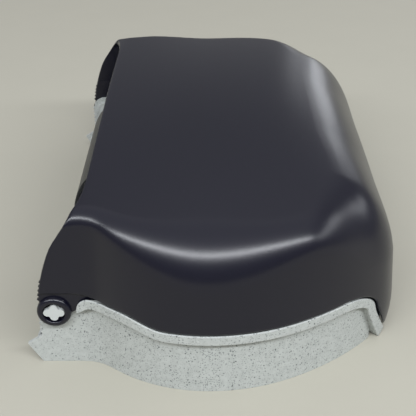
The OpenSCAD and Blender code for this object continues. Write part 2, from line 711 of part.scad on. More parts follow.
module lock_cam() {
    half_w = 5;
    color("#8f9297") translate([cam_x - cam_t, 0, lock_z]) rotate([0, 90, 0]) difference() {
        linear_extrude(cam_t) polygon(concat(
            arc_points([0, 0], half_w + 1.5, 130, 230, 8),
            arc_points([cam_reach - half_w, 0], half_w, -90, 90, 10)));
        translate([0, 0, -1]) cylinder(r = screw_r + screw_gap, h = cam_t + 2);
    }
}

module lock_cam_screw() {
    color("#b9bcc0") translate([cam_x - cam_t, 0, lock_z]) rotate([0, -90, 0]) screw(cam_t + 6);
}

strike_gap = 3;
strike_t = 2.5;
strike_y = cam_reach + 1;
strike_in_y = nut_r + 1.5;
strike_x = [cam_x - cam_t - 5, top_x - base_wall - 0.3];
strike_screw_y = strike_y + strike_t + 6;
module strike_plate() {
    tab_z = lock_z + 5 + strike_gap;
    w = strike_x[1] - strike_x[0];
    foot_l = 12;
    color("#c9ccd0") difference() {
        translate([strike_x[0], 0, 0]) union() {
            translate([0, strike_y, plate_top]) cube([w, strike_t, tab_z + strike_t - plate_top]);
            translate([0, strike_in_y, tab_z]) cube([w, strike_y - strike_in_y + 1, strike_t]);
            translate([0, strike_y, plate_top]) cube([w, foot_l + strike_t, strike_t]);
        }
        translate([(strike_x[0] + strike_x[1]) / 2, strike_screw_y, plate_top - 1])
            cylinder(r = screw_r + screw_gap, h = strike_t + 2);
    }
}

module at_strike_screw() {
    translate([(strike_x[0] + strike_x[1]) / 2, strike_screw_y, plate_top + strike_t]) children();
}

module strike_screws() {
    color("#b9bcc0") at_strike_screw() screw(strike_t + plate_t - 0.5);
}

// ---- The two shells ----
module base_shell() {
    color("#d6d9d5") difference() {
        union() {
            plate();
            top_rim();
            chin();
            back_ribs();
            shutter_guide();
            both_sides() neck_side();
            for (side = [-1, 1]) {
                side_wall(side);
                wall_return(side);
                lip(side);
                outwards(side) translate([0, 0, neck_half_w - base_wall - pin_boss_t])
                    cylinder(r = pin_r + 3, h = pin_boss_t + overlap);
            }
        }
        for (side = [-1, 1]) {
            outwards(side) translate([0, 0, neck_half_w - 20]) cylinder(r = pin_r, h = 40);
            translate([spindle_x, side * spindle_y, -1]) at_spindle_screws()
                cylinder(r = screw_r + screw_gap, h = plate_top + 2);
        }
        for (x = [-fix_x, fix_x], y = [-fix_y, fix_y])
            translate([x, y, -1]) cylinder(r = fix_r, h = plate_top + 2);
        at_strike_screw() translate([0, 0, -plate_top - strike_t]) cylinder(r = screw_r + screw_gap, h = 20);
    }
}

module cover_shell() {
    color("#2b2c33") difference() {
        union() {
            cover_skin();
            both_sides() hinge_arm();
            both_sides() hinge_boss();
            along_lock(pad_x[0]) cylinder(r = housing_flange_r, h = pad_x[1] - pad_x[0]);
        }
        both_sides() outwards(-1) translate([0, 0, boss_in - 1]) cylinder(r = pin_r + pin_gap, h = 12);
        along_lock(pad_x[0] - 1) cylinder(r = barrel_r, h = 12);
    }
}

base_shell();
hinge_pin(-1);  // hinge_pin_near
hinge_pin(1);  // hinge_pin_far
spindle(-1);  // spindle_near
spindle(1);  // spindle_far
spindle_screws();
hub_cap(-1);  // hub_cap_near
hub_cap(1);  // hub_cap_far
hub_cap_screws();
strike_plate();
strike_screws();
cover_shell();
lock_housing();
lock_nut();
lock_plug();
lock_cam();
lock_cam_screw();
hub(-1);  // hub_near
hub(1);  // hub_far
core_adaptor(-1);  // core_adaptor_near
core_adaptor(1);  // core_adaptor_far
shutter();
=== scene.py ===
"""Twin jumbo toilet roll dispenser, lying on its back: the smoked cover, the speckled base and
the small parts are dressed over the fixed frame, on a plain floor with soft light."""

import json
import math
from types import SimpleNamespace

import bmesh
import bpy
from bpy.props import FloatProperty, PointerProperty, StringProperty
from mathutils import Matrix, Vector
from mathutils.geometry import tessellate_polygon


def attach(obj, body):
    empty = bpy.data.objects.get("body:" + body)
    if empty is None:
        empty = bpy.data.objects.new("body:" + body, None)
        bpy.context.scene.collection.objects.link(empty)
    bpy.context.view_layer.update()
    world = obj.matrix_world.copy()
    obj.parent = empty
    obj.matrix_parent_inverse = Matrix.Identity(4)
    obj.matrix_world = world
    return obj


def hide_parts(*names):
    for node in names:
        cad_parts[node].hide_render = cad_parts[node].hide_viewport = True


bl_info = {
    "name": "Twin Jumbo Roll Dispenser",
    "version": (1, 0, 0),
    "blender": (4, 5, 0),
    "location": "View3D > Sidebar > Dispenser",
    "description": "Builds a twin jumbo toilet roll dispenser, its floor, light and camera",
    "category": "Add Mesh",
}

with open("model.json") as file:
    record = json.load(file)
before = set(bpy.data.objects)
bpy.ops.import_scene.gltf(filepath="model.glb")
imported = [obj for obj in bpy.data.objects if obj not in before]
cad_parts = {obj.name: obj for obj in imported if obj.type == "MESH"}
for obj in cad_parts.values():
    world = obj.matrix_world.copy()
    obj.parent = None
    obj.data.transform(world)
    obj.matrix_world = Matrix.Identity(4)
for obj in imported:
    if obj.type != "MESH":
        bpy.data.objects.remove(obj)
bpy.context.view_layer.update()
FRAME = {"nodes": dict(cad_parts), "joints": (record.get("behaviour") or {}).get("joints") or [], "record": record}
JOINTS = {joint["name"]: joint for joint in FRAME["joints"]}
HINGE = JOINTS["cover_hinge"]["pos_m"]
SPINDLE = JOINTS["hub_far_spin"]["pos_m"]
LOCK = JOINTS["lock_turn"]["pos_m"]
MM = 0.001
FIXING_PLACES = [(x, y) for x in (-90, 90) for y in (-178, 178)]
FIXING_RADIUS = 3.25
SPINDLE_SCREW_CIRCLE = 18
SPINDLE_SCREW_RADIUS = 2
TOP_RIM_HEIGHT = 8
RIM_FALL_Z = 110  # the open end begins to turn down at this height
SIDES = {"near": -1, "far": 1}


# ---- Sizes and colours that a user would change ----


def length(name, millimetres, description):
    return FloatProperty(name=name, default=millimetres * MM, description=description, unit="LENGTH")


def angle(name, degrees, description):
    return FloatProperty(name=name, default=math.radians(degrees), description=description, unit="ROTATION")


def colour(name, hex_value, description):
    return StringProperty(name=name, default=hex_value, description=description + ", as an sRGB hex value")


class CasingSizes(bpy.types.PropertyGroup):
    """Plan outline and walls that the base and the cover share."""

    depth: length("Depth", 152, "From the wall to the middle of the front")
    neck_half_width: length("Neck Half Width", 200, "Half width of the base at the hinge end")
    belly_half_width: length("Belly Half Width", 238.3, "Half width of the base at its widest place")
    belly_x: length("Belly Place", -4.4, "Place of the widest station")
    neck_end_x: length("Neck End", -107, "Where the straight neck ends")
    blend_radius: length("Blend Radius", 30, "Where the neck turns out into the belly")
    belly_radius: length("Belly Radius", 155, "Radius of the belly on its upper half")
    belly_turn: angle("Belly Turn", 25, "Turn of the belly arc")
    shoulder_radius: length("Shoulder Radius", 240, "Radius of the shoulder above the belly")
    corner_radius: length("Corner Radius", 54, "Radius of the top corner")
    top_x: length("Top End", 149.5, "Top end of the base")
    base_wall: length("Base Wall", 3.2, "Wall thickness of the base")
    plate_thickness: length("Back Plate", 3, "Thickness of the back plate")
    plate_lift: length("Plate Lift", 3, "Hollow under the back plate")


class CoverSizes(bpy.types.PropertyGroup):
    """Skin of the cover."""

    wall: length("Cover Wall", 2.8, "Wall thickness of the cover")
    draft: angle("Draft", 4, "Draft of the cover walls")
    neck_edge: length("Neck Edge", 13, "Radius of the edge of the front at the hinge end")
    belly_edge: length("Belly Edge", 42, "Radius of the edge of the front round the belly")
    shoulder_edge: length("Shoulder Edge", 26, "Radius of the edge of the front round the shoulders")
    corner_edge: length("Corner Edge", 56, "Radius of the edge of the front at the top corners")
    top_edge: length("Top Edge", 63, "Radius of the edge of the front at the top end")
    neck_fall: length("Neck Fall", 6, "Fall of the front from the middle to the neck edge")
    belly_fall: length("Belly Fall", 11, "Fall of the front from the middle to the belly edge")
    top_fall: length("Top Fall", 20, "Fall of the front from the middle to the top end")
    end_z: length("End Height", 3, "Lower edge of the cover at the top end")
    arch_x: length("Arch", -103, "Middle of the arched paper edge")
    arch_flat: length("Arch Flat", 140, "Half width of the straight middle of the arch")
    end_corner: length("End Corner", 1.5, "Radius of the corner of the open end, seen from the side")
    rim_fall: length("Rim Fall", 2, "How far the front turns down along the open end")
    corner_fall: length("Corner Fall", 2, "How far the front falls towards the corners of the open end")


class LipSizes(bpy.types.PropertyGroup):
    """Lip of the base that the cover meets."""

    height: length("Lip Height", 60, "Height of the lip along the belly")
    neck_height: length("Neck Lip Height", 68, "Height of the lip at the neck")
    curl_drop: length("Curl Drop", 11, "How far the lip curls down beside the hinge")
    out: length("Lip Projection", 6, "How far the lip stands out")
    face: length("Lip Face", 8.8, "Height of the face of the lip")
    gap: length("Gap", 1, "Gap between the lip and the cover")


class HingeSizes(bpy.types.PropertyGroup):
    """Hinge bosses, arms and tear teeth."""

    boss_radius: length("Boss Radius", 14, "Radius of the hinge boss")
    recess_radius: length("Recess Radius", 9, "Radius of the recess in the boss")
    arm_thickness: length("Arm Thickness", 3, "Thickness of the hinge arm of the cover")
    arm_gap: length("Arm Gap", 0.5, "Gap between the base and the hinge arm")
    tooth_pitch: length("Tooth Pitch", 4.2, "Pitch of the tear teeth")
    tooth_height: length("Tooth Height", 1.8, "Height of the tear teeth")


class Colours(bpy.types.PropertyGroup):
    """Colours of the finishes."""

    smoke: colour("Smoke", "#0B0B1A", "Moulded smoke plastic of the cover")
    light_grey: colour("Light Grey", "#B3B7B4", "Moulded plastic of the base")
    speck: colour("Speck", "#3E4448", "Mineral specks in the base")
    pin: colour("Pin", "#BFC3C1", "Moulded plastic of the hinge pins")
    graphite: colour("Graphite", "#34363A", "Moulded plastic of the hubs")
    grey: colour("Grey", "#6C7076", "Moulded plastic of the core adaptors")
    black: colour("Black", "#1A1B1E", "Moulded plastic of the shutter")
    floor: colour("Floor", "#AFAC9F", "Painted floor")


PROPERTY_GROUPS = {
    "dispenser_casing": CasingSizes,
    "dispenser_cover": CoverSizes,
    "dispenser_lip": LipSizes,
    "dispenser_hinge": HingeSizes,
    "dispenser_colours": Colours,
}


def in_mm(group):
    """The group's lengths in millimetres, and its other values as they are."""
    values = {}
    for name, prop in group.bl_rna.properties.items():
        if name not in ("rna_type", "name"):
            value = getattr(group, name)
            values[name] = value / MM if getattr(prop, "unit", "NONE") == "LENGTH" else value
    return SimpleNamespace(**values)


# ---- Form of the casing, in millimetres ----


def mix(a, b, t):
    return a + (b - a) * t


def smooth(t):
    u = max(0.0, min(1.0, t))
    return u * u * (3 - 2 * u)


def ease_down(t):
    return 1 - math.sqrt(1 - max(0.0, min(1.0, t)) ** 2)


def spread(a, b, step):
    """Values from a to b in equal steps no longer than step."""
    n = max(1, math.ceil(abs(b - a) / step))
    return [mix(a, b, i / n) for i in range(n + 1)]


class Plan:
    """Half of the plan outline, from the hinge end round to the middle of the top end."""

    beyond = 30
    blur = 7

    def __init__(self, c, start_x):
        blend_turn = 2 * math.atan((c.belly_half_width - c.neck_half_width) / (c.belly_x - c.neck_end_x))
        lower_belly_radius = (c.belly_x - c.neck_end_x) / math.sin(blend_turn) - c.blend_radius
        shoulder_turn = math.radians(45) - c.belly_turn
        stretches = [
            (c.neck_end_x - start_x, 0),
            (c.blend_radius * blend_turn, 1 / c.blend_radius),
            (lower_belly_radius * blend_turn, -1 / lower_belly_radius),
            (c.belly_radius * c.belly_turn, -1 / c.belly_radius),
            (c.shoulder_radius * shoulder_turn, -1 / c.shoulder_radius),
        ]
        self.neck_end = stretches[0][0]
        self.blend_end = sum(stretch[0] for stretch in stretches[:3])
        place = (start_x, c.neck_half_width, 0.0)
        for stretch in stretches:
            place = self.along(place, stretch[1], stretch[0])
        half = math.sqrt(0.5)
        flat = (c.top_x - c.corner_radius * (1 - half) - place[0]) / half
        corner_end_y = place[1] - flat * half - c.corner_radius * half
        corner_arc = c.corner_radius * math.radians(45)
        stretches += [(flat, 0), (corner_arc, -1 / c.corner_radius), (corner_end_y, 0)]
        self.length = sum(stretch[0] for stretch in stretches)
        self.corner_end = self.length - corner_end_y
        self.stations = self.softened(self.walk((start_x, c.neck_half_width, 0.0), stretches))

    @staticmethod
    def along(place, curvature, distance):
        x, y, heading = place
        if curvature == 0:
            return (x + distance * math.cos(heading), y + distance * math.sin(heading), heading)
        turned = heading + distance * curvature
        return (
            x + (math.sin(turned) - math.sin(heading)) / curvature,
            y - (math.cos(turned) - math.cos(heading)) / curvature,
            turned,
        )

    def walk(self, place, stretches):
        """Points every millimetre, with a straight run beyond each end."""
        points = [(place[0] + s, place[1]) for s in range(-self.beyond, 0)]
        done = 0.0
        for number, (distance, curvature) in enumerate(stretches):
            last = number == len(stretches) - 1
            while len(points) - self.beyond <= done + distance + (self.beyond if last else 0):
                points.append(self.along(place, curvature, len(points) - self.beyond - done)[:2])
            place = self.along(place, curvature, distance)
            done += distance
        return points

    def softened(self, points):
        """The points with their arcs blended, each with its outward normal."""
        for _ in range(2):
            points = [
                tuple(
                    sum(p[axis] for p in points[max(0, i - self.blur) : i + self.blur + 1])
                    / len(points[max(0, i - self.blur) : i + self.blur + 1])
                    for axis in (0, 1)
                )
                if self.blur <= i < len(points) - self.blur
                else points[i]
                for i in range(len(points))
            ]
        stations = []
        for before, here, after in zip(points, points[1:], points[2:]):
            across, along = after[0] - before[0], after[1] - before[1]
            size = math.hypot(across, along)
            stations.append((here[0], here[1], -along / size, across / size))
        return stations

    def at(self, s):
        place = max(0.0, min(len(self.stations) - 1.001, s + self.beyond - 1))
        low = int(place)
        a, b = self.stations[low], self.stations[low + 1]
        return [mix(p, q, place - low) for p, q in zip(a, b)]

    def out(self, s, d, side=1):
        x, y, nx, ny = self.at(s)
        return (x + d * nx, side * (y + d * ny))

    def reach(self, x):
        """Arc length at which the outline reaches x."""
        low, high = 0.0, self.length
        for _ in range(30):
            middle = (low + high) / 2
            low, high = (middle, high) if self.at(middle)[0] < x else (low, middle)
        return (low + high) / 2


class WallPath:
    """The plan outline up to the end of the side wall, then a bend inwards behind the leg."""

    def __init__(self, plan, end_s, radius):
        self.plan, self.end_s, self.radius = plan, end_s, radius
        x, y, nx, ny = plan.at(end_s)
        self.normal, self.ahead = (nx, ny), (ny, -nx)
        self.centre = (x - radius * nx, y - radius * ny)

    def out(self, s, d, side=1):
        if s <= self.end_s:
            return self.plan.out(s, d, side)
        turn = min((s - self.end_s) / self.radius, math.pi / 2)
        beyond = s - self.end_s - self.radius * turn
        (nx, ny), (ax, ay) = self.normal, self.ahead
        cosine, sine = math.cos(turn), math.sin(turn)
        reach = self.radius + d
        x = self.centre[0] + reach * (cosine * nx + sine * ax) + beyond * (cosine * ax - sine * nx)
        y = self.centre[1] + reach * (cosine * ny + sine * ay) + beyond * (cosine * ay - sine * ny)
        return (x, side * y)


class FlatPath:
    """A flat side: the first number is X and the offset is the distance from the middle."""

    @staticmethod
    def bend(point, side=1):
        return (point.x, side * point.y, point.z)


class TopPath:
    """Seen from the front: the drawing is in X and Y and the offset is the height."""

    @staticmethod
    def bend(point, side=1):
        return (point.x, side * point.z, point.y)


class Outline:
    """Puts a drawing in (s, z) on a path."""

    def __init__(self, path):
        self.path = path

    def bend(self, point, side=1):
        x, y = self.path.out(point.x, point.y, side)
        return (x, y, point.z)


class Form:
    """The shape of the casing, worked out from its sizes."""

    def __init__(self, scene):
        self.casing = in_mm(scene.dispenser_casing)
        self.cover = in_mm(scene.dispenser_cover)
        self.lip = in_mm(scene.dispenser_lip)
        self.hinge = in_mm(scene.dispenser_hinge)
        self.hinge_x, _, self.hinge_z = (value / MM for value in HINGE)
        self.start_x = self.hinge_x - self.hinge.boss_radius
        self.plan = Plan(self.casing, self.start_x)
        self.curl_x = self.casing.neck_end_x - 4.5
        self.crest = (self.curl_x + 12.5, self.curl_x + 38.5)
        self.leg_foot_x = self.casing.top_x - 4.5
        self.leg_bend = (self.leg_foot_x - 45, self.leg_foot_x - 13)
        self.leg_bend_height = 24
        self.leg_width = 7
        self.wall_end_x = self.leg_foot_x - 12
        self.edges = self.edge_steps()
        self.plate_top = self.casing.plate_lift + self.casing.plate_thickness
        self.chin_foot_x = self.start_x - 0.9
        self.chin_z = 19

    # Heights of the lip and the lower edge of the cover

    def lip_top(self, x):
        lip, bend = self.lip, self.leg_bend
        bend_end_z = lip.height - self.leg_bend_height
        if x < self.crest[0]:
            curled = (self.crest[0] - x) / (self.crest[0] - self.curl_x)
            return lip.neck_height - lip.curl_drop * ease_down(curled)
        if x < bend[0]:
            return mix(lip.neck_height, lip.height, smooth((x - self.crest[1]) / 35))
        if x < bend[1]:
            return lip.height - self.leg_bend_height * ease_down((x - bend[0]) / (bend[1] - bend[0]))
        return max(0.0, bend_end_z * (self.leg_foot_x - x) / (self.leg_foot_x - bend[1]))

    def cover_low(self, x):
        arm_step = 4.5
        opening = 1 - smooth((x - self.curl_x - 4) / 22)
        gap = mix(self.lip.gap, arm_step, opening)
        return max(self.cover.end_z, self.lip_top(max(x - self.lip.gap, self.crest[0])) + gap)

    def lip_bottom(self, x):
        lip, bend = self.lip, self.leg_bend
        bend_end_x = bend[1] - self.leg_width
        low_z = lip.height - lip.face
        bend_end_z = lip.height - self.leg_bend_height
        if x < self.crest[0]:
            rise = smooth((x - self.curl_x) / (self.crest[0] - self.curl_x))
            return lip.neck_height - mix(lip.curl_drop + 3, lip.face, rise)
        if x < bend[0]:
            return self.lip_top(x) - lip.face
        if x < bend_end_x:
            return low_z - (low_z - bend_end_z) * ease_down((x - bend[0]) / (bend_end_x - bend[0]))
        return max(0.0, bend_end_z * (self.leg_foot_x - self.leg_width - x) / (self.leg_foot_x - bend[1]))

    # Skin of the cover

    def cover_out(self, z):
        """How far the skin stands out at a height. Its low edge at the top end curls in."""
        curl_in, curl_height = 6, 34
        drafted = self.lip.out - (z - self.lip.height) * math.tan(self.cover.draft)
        return drafted - curl_in * max(0.0, 1 - z / curl_height) ** 2

    def edge_steps(self):
        """The edge radius changes smoothly between these arc lengths."""
        cover, casing, plan = self.cover, self.casing, self.plan
        corner_start = plan.corner_end - casing.corner_radius * math.pi / 4
        return [
            (plan.neck_end, cover.neck_edge),
            (plan.reach(casing.belly_x), cover.belly_edge),
            (plan.reach(75), cover.shoulder_edge),
            (corner_start - 4, cover.corner_edge),
            (plan.corner_end + 2, cover.corner_edge),
            (plan.corner_end + 80, cover.top_edge),
        ]

    def edge_radius(self, s):
        after = next((i for i, step in enumerate(self.edges[1:], 1) if s < step[0]), len(self.edges) - 1)
        (low_s, low), (high_s, high) = self.edges[after - 1 : after + 1]
        return mix(low, high, smooth((s - low_s) / (high_s - low_s)))

    def front_z(self, x, y):
        casing, cover = self.casing, self.cover
        fall = mix(cover.neck_fall, cover.belly_fall, smooth((x - casing.neck_end_x) / 100))
        top_fall_x = 50
        top = max(0.0, x - top_fall_x) / (casing.top_x - top_fall_x)
        return casing.depth - fall * (y / casing.neck_half_width) ** 2 - cover.top_fall * top**2.6

    def end_x(self, z, top_z):
        """Place of the open end: an arc seen from the side, with a rounded corner at the front."""
        radius, centre_x, centre_z = 184, self.hinge_x + 170.1, self.hinge_z - 15.9
        corner = self.cover.end_corner
        rounding = corner * ease_down((z - top_z + corner) / corner)
        return centre_x - math.sqrt(radius**2 - (z - centre_z) ** 2) + rounding

    def roll(self, x, y, z, open_x):
        """How far the skin turns down towards the open end, and more at its corners."""
        high = smooth((z - RIM_FALL_Z) / 32)
        corner = smooth((abs(y) - 150) / 45) * (max(0.0, -92 - x) / 18) ** 1.5
        rim = self.cover.rim_fall * ease_down(1 - (x - open_x) / 4)
        return high * (rim + self.cover.corner_fall * corner)

    def arch(self, y, edge_y, edge_x):
        cover = self.cover
        t = max(0.0, min(1.0, (y - cover.arch_flat) / (edge_y - cover.arch_flat)))
        return cover.arch_x - (cover.arch_x - edge_x) * t**2.5

    def spine_x(self, s):
        start, turn_in, fan = self.cover.arch_x + 14, self.plan.blend_end + 40, 75
        turn_in_x = self.plan.at(turn_in)[0]
        if s < turn_in:
            return mix(start, turn_in_x, (s - self.plan.neck_end) / (turn_in - self.plan.neck_end))
        return mix(turn_in_x, fan, (s - turn_in) / (self.plan.length - turn_in))

    def full_skin(self, s, zone, f, t):
        """A point of the skin moved in by t. The zone is wall, edge or face and f runs along it."""
        plan, draft = self.plan, self.cover.draft
        x, y = plan.at(s)[:2]
        r = max(1.0, self.edge_radius(s) - t)
        wall_top = self.front_z(x, y) - t - r * (1 - math.sin(draft))
        if zone == "wall":
            z = mix(self.cover_low(x), wall_top, f)
            return Vector((*plan.out(s, self.cover_out(z) - t), z))
        if zone == "edge":
            turn = mix(draft, math.pi / 2, f)
            px, py = plan.out(s, self.cover_out(wall_top) - t - r * (math.cos(draft) - math.cos(turn)))
            return Vector((px, py, self.front_z(px, py) - t - r * (1 - math.sin(turn))))
        inner = plan.out(s, self.cover_out(wall_top) - t - r * math.cos(draft))
        px, py = mix(inner[0], self.spine_x(s), f), inner[1] * (1 - f)
        return Vector((px, py, self.front_z(px, py) - t))

    def skin(self, s, u, zone, f, t):
        """A point of the skin that is trimmed at the open end: u runs from 0 at the open end to 1 at s."""
        point, inner = self.full_skin(s, zone, f, t), self.full_skin(s, "edge", 1, t)
        if zone == "face":
            open_x = self.arch(point.y, inner.y, self.end_x(inner.z, inner.z))
        else:
            open_x = self.end_x(point.z, inner.z)
        if u < 1:
            x = mix(open_x, point.x, u)
            point = self.full_skin(s - (point.x - x), zone, f, t)
            point.x = x
            if zone == "face":
                point.z = self.front_z(x, point.y) - t
        point.z -= self.roll(*point, open_x)
        return point


# ---- Meshes ----


def finished_object(name, mesh, sharp_angle):
    """Welds a closed mesh drawn in millimetres, turns its normals outward, and links it in metres."""
    shape = bmesh.new()
    shape.from_mesh(mesh)
    bmesh.ops.remove_doubles(shape, verts=shape.verts, dist=0.002)
    bmesh.ops.dissolve_degenerate(shape, edges=shape.edges, dist=0.001)
    bmesh.ops.recalc_face_normals(shape, faces=shape.faces)
    bmesh.ops.scale(shape, verts=shape.verts, vec=(MM, MM, MM))
    shape.to_mesh(mesh)
    shape.free()
    mesh.shade_smooth()
    mesh.set_sharp_from_angle(angle=math.radians(sharp_angle))
    obj = bpy.data.objects.new(name, mesh)
    bpy.context.scene.collection.objects.link(obj)
    even = obj.modifiers.new("Flat Faces Stay Flat", "WEIGHTED_NORMAL")
    even.keep_sharp = True
    return obj


def new_object(name, points, faces, sharp_angle=35):
    """A closed mesh from points in millimetres."""
    mesh = bpy.data.meshes.new(name)
    mesh.from_pydata(points, [], faces)
    return finished_object(name, mesh, sharp_angle)


def loft(rings, close_ends=True):
    """Points and faces of a tube through rings of equal length."""
    n = len(rings[0])
    points = [p for ring in rings for p in ring]
    faces = [
        (i * n + j, i * n + (j + 1) % n, (i + 1) * n + (j + 1) % n, (i + 1) * n + j)
        for i in range(len(rings) - 1)
        for j in range(n)
    ]
    if close_ends:
        faces += [tuple(range(n)), tuple(range(len(points) - n, len(points)))]
    return points, faces


def prism(loops, low, high):
    """Points and faces of an outline in (s, z) with holes, between two offsets."""
    flat = [p for loop in loops for p in loop]
    n = len(flat)
    points = [(p[0], low, p[1]) for p in flat] + [(p[0], high, p[1]) for p in flat]
    if len(loops) == 1:
        caps = [tuple(range(n))]
    else:
        flat_loops = [[Vector((p[0], p[1], 0)) for p in loop] for loop in loops]
        caps = [tuple(t) for t in tessellate_polygon(flat_loops)]
    faces = caps + [tuple(i + n for i in reversed(cap)) for cap in caps]
    start = 0
    for loop in loops:
        size = len(loop)
        for i in range(size):
            a, b = start + i, start + (i + 1) % size
            faces.append((a, b, b + n, a + n))
        start += size
    return points, faces


def lathe(name, profile, matrix, steps=64):
    """A closed profile of (radius, height) turned round the Z axis of a matrix."""
    rings = []
    for i in range(steps + 1):
        turn = 2 * math.pi * i / steps
        rings.append([matrix @ Vector((r * math.cos(turn), r * math.sin(turn), h)) for r, h in profile])
    return new_object(name, *loft([[*ring, ring[0]] for ring in rings], close_ends=False))


def plate(name, outline, low, high, path, side=1, round_mm=0.5, segments=2, holes=(), step=0):
    """A plate drawn in (s, z), from one offset to another, with rounded edges. It is cut across every
    step millimetres and bent round the path."""
    loops = [list(outline), *[list(hole) for hole in holes]]
    points, faces = prism(loops, low, high)
    shape = bmesh.new()
    verts = [shape.verts.new(p) for p in points]
    for face in faces:
        shape.faces.new([verts[i] for i in face])
    bmesh.ops.recalc_face_normals(shape, faces=shape.faces)
    if round_mm:
        sharp = [edge for edge in shape.edges if edge.calc_face_angle(0) > math.radians(25)]
        bmesh.ops.bevel(
            shape, geom=sharp, offset=round_mm, segments=segments, profile=0.5,
            affect="EDGES", clamp_overlap=True,
        )
    if step:
        for cut in spread(min(p[0] for p in outline), max(p[0] for p in outline), step)[1:-1]:
            everything = [*shape.verts, *shape.edges, *shape.faces]
            bmesh.ops.bisect_plane(
                shape, geom=everything, plane_co=(cut, 0, 0), plane_no=(1, 0, 0), dist=0.0005
            )
    for vert in shape.verts:
        vert.co = path.bend(vert.co, side)
    mesh = bpy.data.meshes.new(name)
    shape.to_mesh(mesh)
    shape.free()
    return finished_object(name, mesh, 35)


def circle(centre, radius, steps=32):
    turns = [2 * math.pi * i / steps for i in range(steps)]
    return [(centre[0] + radius * math.cos(a), centre[1] + radius * math.sin(a)) for a in turns]


def arc(centre, radius, start, end, steps):
    """Points on an arc, with its angles in degrees."""
    angles = [math.radians(mix(start, end, i / steps)) for i in range(steps + 1)]
    return [(centre[0] + radius * math.cos(a), centre[1] + radius * math.sin(a)) for a in angles]


def teeth(xs, low_z, hinge):
    """Points of a row of pointed teeth up an edge, which is at xs."""
    points = []
    for i, x in enumerate(xs):
        points.append((x, low_z + i * hinge.tooth_pitch))
        points.append((x - hinge.tooth_height, low_z + (i + 0.35) * hinge.tooth_pitch))
        points.append((x + 0.2, low_z + (i + 0.75) * hinge.tooth_pitch))
    return points


def outwards(form, side):
    """Turns +Z to point out of a side along the hinge axis."""
    turn = Matrix.Rotation(-side * math.pi / 2, 4, "X")
    return Matrix.Translation((form.hinge_x, 0, form.hinge_z)) @ turn


def dress(obj, material, body, replaced=()):
    """Gives a piece its material, its body and the nodes that it stands for."""
    obj.data.materials.clear()
    obj.data.materials.append(material)
    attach(obj, body)
    if replaced:
        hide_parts(*replaced)
    return obj


# ---- Materials ----


def linear(hex_value):
    """sRGB hex to linear RGBA."""
    parts = [int(hex_value[i : i + 2], 16) / 255 for i in (1, 3, 5)]
    return (*[c / 12.92 if c <= 0.04045 else ((c + 0.055) / 1.055) ** 2.4 for c in parts], 1.0)


def add_node(owner, kind, settings=None, links=None, **attributes):
    """Adds a node to a material or world, sets its attributes and inputs, and links its inputs."""
    node = owner.node_tree.nodes.new(kind)
    for name, value in attributes.items():
        setattr(node, name, value)
    for name, value in (settings or {}).items():
        node.inputs[name].default_value = value
    for name, socket in (links or {}).items():
        owner.node_tree.links.new(socket, node.inputs[name])
    return node


def add_math(owner, operation, settings, links):
    return add_node(owner, "ShaderNodeMath", settings, links, operation=operation)


def new_material(name):
    material = bpy.data.materials.new(name)
    material.use_nodes = True
    material.node_tree.nodes.clear()
    return material


def finish_material(material, shader):
    output = add_node(material, "ShaderNodeOutputMaterial")
    material.node_tree.links.new(shader.outputs[0], output.inputs["Surface"])
    return material


def moulded(name, base, roughness, ior, grain_mm, grain_height_mm, mottle=0.04, drift_mm=60):
    """An injection-moulded plastic: an even colour that drifts a little with the flow of the melt, and
    the fine grain of a spark-eroded mould."""
    material = new_material(name)
    place = add_node(material, "ShaderNodeTexCoord")
    drift = add_node(
        material, "ShaderNodeTexNoise", {"Scale": 1 / (drift_mm * MM), "Detail": 2.0},
        {"Vector": place.outputs["Object"]},
    )
    tone = linear(base)
    lighter = tuple(min(1.0, c * (1 + mottle)) for c in tone[:3]) + (1.0,)
    darker = tuple(c * (1 - mottle) for c in tone[:3]) + (1.0,)
    shade = add_node(
        material, "ShaderNodeMix", {6: darker, 7: lighter}, {0: drift.outputs[0]}, data_type="RGBA"
    )
    grain = add_node(
        material,
        "ShaderNodeTexNoise",
        {"Scale": 1 / (grain_mm * MM), "Detail": 3.0},
        {"Vector": place.outputs["Object"]},
    )
    gloss = add_node(
        material,
        "ShaderNodeMapRange",
        {"To Min": roughness * 0.88, "To Max": roughness * 1.12},
        {"Value": grain.outputs[0]},
    )
    bump = add_node(
        material,
        "ShaderNodeBump",
        {"Strength": 0.5, "Distance": grain_height_mm * MM},
        {"Height": grain.outputs[0]},
    )
    shader = add_node(
        material,
        "ShaderNodeBsdfPrincipled",
        {"IOR": ior},
        {"Base Color": shade.outputs[2], "Roughness": gloss.outputs[0], "Normal": bump.outputs[0]},
    )
    return finish_material(material, shader), shader, shade, place


def smoke_plastic(colours):
    """Smoke-tinted ABS, moulded in a satin mould: nearly black, with a broad soft highlight on its
    edges and a pale sheen where the eye grazes it."""
    return moulded("Smoke ABS, Satin Moulded", colours.smoke, 0.26, 1.5, 1.0, 0.03)[0]


